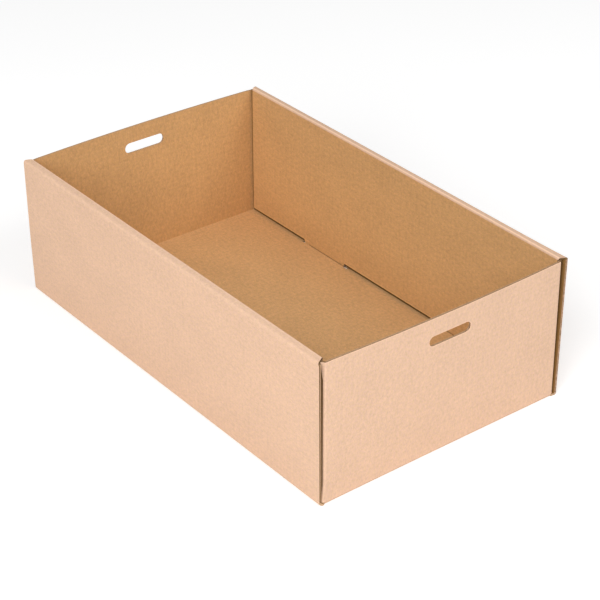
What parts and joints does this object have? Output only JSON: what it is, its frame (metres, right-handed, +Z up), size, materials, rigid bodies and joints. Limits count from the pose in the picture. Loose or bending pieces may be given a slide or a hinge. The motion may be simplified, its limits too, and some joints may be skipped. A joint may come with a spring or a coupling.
{
  "type": "cardboard tray box",
  "caption": "Open-topped rectangular corrugated board tray, folded from a single sheet, with rolled long walls locked by floor tabs and single-ply end walls with hand holes.",
  "frame": {"origin": "middle of the underside of the floor", "axes": "+X along the tray to an end panel, +Y across it to a long wall, +Z up"},
  "size_m": [0.65, 0.396, 0.205],
  "materials": {
    "corrugated_board": "matt brown kraft liner with faint washboard flutes and raw cut edges"
  },
  "bodies": {
    "root": {"folded_tray": "corrugated_board"}
  },
  "joints": []
}
